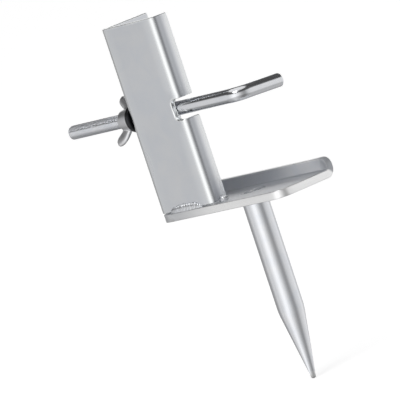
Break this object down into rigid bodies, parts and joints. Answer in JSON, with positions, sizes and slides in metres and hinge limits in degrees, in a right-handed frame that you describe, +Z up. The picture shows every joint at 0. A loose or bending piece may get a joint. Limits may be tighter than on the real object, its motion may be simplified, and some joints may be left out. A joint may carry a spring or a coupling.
{
  "type": "ladder stile ground spike with hook bolt clamp",
  "caption": "Steel point under a base plate and bent channel, held to a 76 x 20 mm ladder stile by a hook bolt and wing nut.",
  "frame": {"origin": "middle of the 76 x 20 mm stile's end, on the base plate's top face", "axes": "+Z up along the stile, +X across the stile's depth from the web towards the hook, +Y from the side wall towards the turned-up rim"},
  "size_m": [0.156, 0.0435, 0.216],
  "materials": {
    "zinc_sheet": "zinc plated, satin",
    "zinc_weld": "weld bead, zinc plated",
    "zinc_bar": "turned, zinc plated, semi-bright",
    "zinc_bolt": "bright zinc plated",
    "black_steel": "blackened"
  },
  "bodies": {
    "frame": {"clamp_channel": "zinc_sheet", "base_plate": "zinc_sheet", "wall_weld": "zinc_weld", "lip_weld": "zinc_weld", "back_weld": "zinc_weld", "spike": "zinc_bar", "spike_weld": "zinc_weld"},
    "washer": {"washer": "black_steel"},
    "nut": {"wing_nut": "zinc_bolt"},
    "hook": {"hook_bolt": "zinc_bolt"}
  },
  "joints": [
    {"name": "hook_swing", "type": "hinge", "parent": "frame", "child": "washer", "pos_m": [-0.041, -0.0142, 0.055], "axis": [1, 0, 0], "continuous": true},
    {"name": "nut_spin", "type": "hinge", "parent": "washer", "child": "nut", "pos_m": [-0.0437, -0.0142, 0.055], "axis": [1, 0, 0], "range_deg": [-12672, 5760]},
    {"name": "hook_travel", "type": "slide", "parent": "washer", "child": "hook", "axis": [1, 0, 0], "range_m": [-0.02, 0.044]}
  ],
  "couplings": [
    {"joint": "hook_travel", "follows": "nut_spin", "m_per_rad": -0.00019894}
  ]
}
